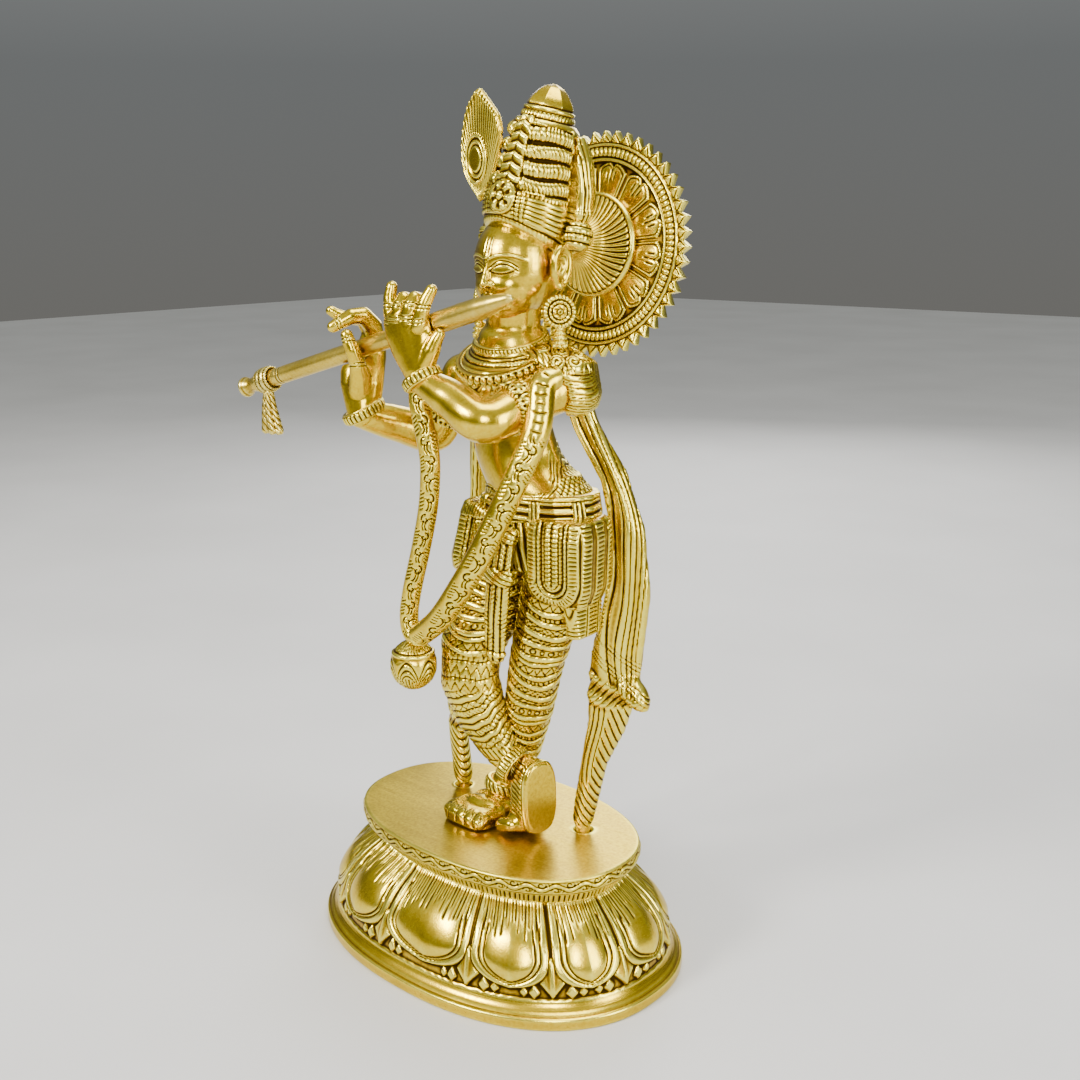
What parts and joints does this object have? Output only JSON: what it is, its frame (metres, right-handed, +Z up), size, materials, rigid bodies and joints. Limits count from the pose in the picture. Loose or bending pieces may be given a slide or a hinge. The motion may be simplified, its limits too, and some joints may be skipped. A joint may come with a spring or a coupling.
{
  "type": "hindu deity statue",
  "caption": "Brass statue of a crowned flute player standing cross-legged on an oval lotus pedestal, with a toothed halo and a flute that draws out of the hands.",
  "frame": {"origin": "middle of the bounding box's underside, at the level of the surface that the pedestal stands on", "axes": "+Z up, the figure faces -Y, its left hand is towards +X and the flute points to -X"},
  "size_m": [0.174, 0.108, 0.3125],
  "materials": {
    "smooth_brass": "polished brass with fine brushing and a thin darker patina",
    "chased_brass": "chased brass, bright on its ridges and dark brown in its recesses",
    "flute_brass": "paler satin brass",
    "steel": "plain machined steel"
  },
  "bodies": {
    "statue": {"armlet_left": "chased_brass", "armlet_right": "chased_brass", "bangle_left": "chased_brass", "bangle_right": "chased_brass", "beaded_necklace": "chased_brass", "centre_drape": "chased_brass", "chest_pendant": "chased_brass", "collar_necklace": "chased_brass", "crown": "chased_brass", "crown_ribbon_left": "chased_brass", "crown_ribbon_right": "chased_brass", "ear_left": "smooth_brass", "ear_right": "smooth_brass", "earring_left": "chased_brass", "earring_right": "chased_brass", "foot_nut": "steel", "foot_stud": "steel", "foot_washer": "steel", "garland_left_strand": "chased_brass", "garland_pendant": "chased_brass", "garland_right_strand": "chased_brass", "hair_knot_left": "chased_brass", "hair_knot_right": "chased_brass", "halo_disc": "chased_brass", "halo_screw": "steel", "halo_trumpet": "chased_brass", "head": "smooth_brass", "hip_wrap": "chased_brass", "left_anklet": "chased_brass", "left_foot": "smooth_brass", "left_forearm": "smooth_brass", "left_hand": "smooth_brass", "left_hip_panel": "chased_brass", "left_leg": "chased_brass", "left_upper_arm": "smooth_brass", "lotus_base": "chased_brass", "neck": "smooth_brass", "peacock_feather": "chased_brass", "pedestal_deck": "smooth_brass", "right_anklet": "chased_brass", "right_foot": "smooth_brass", "right_forearm": "smooth_brass", "right_hand": "smooth_brass", "right_hip_panel": "chased_brass", "right_leg": "chased_brass", "right_upper_arm": "smooth_brass", "sash_left_tail": "chased_brass", "sash_right_tail": "chased_brass", "shoulder_shawl": "chased_brass", "torso": "smooth_brass", "waist_belt": "chased_brass"},
    "flute": {"flute_rod": "flute_brass", "flute_tassel": "flute_brass"}
  },
  "joints": [
    {"name": "flute_slide", "type": "slide", "parent": "statue", "child": "flute", "axis": [-0.9527, -0.1084, -0.2839], "range_m": [0, 0.088]}
  ]
}
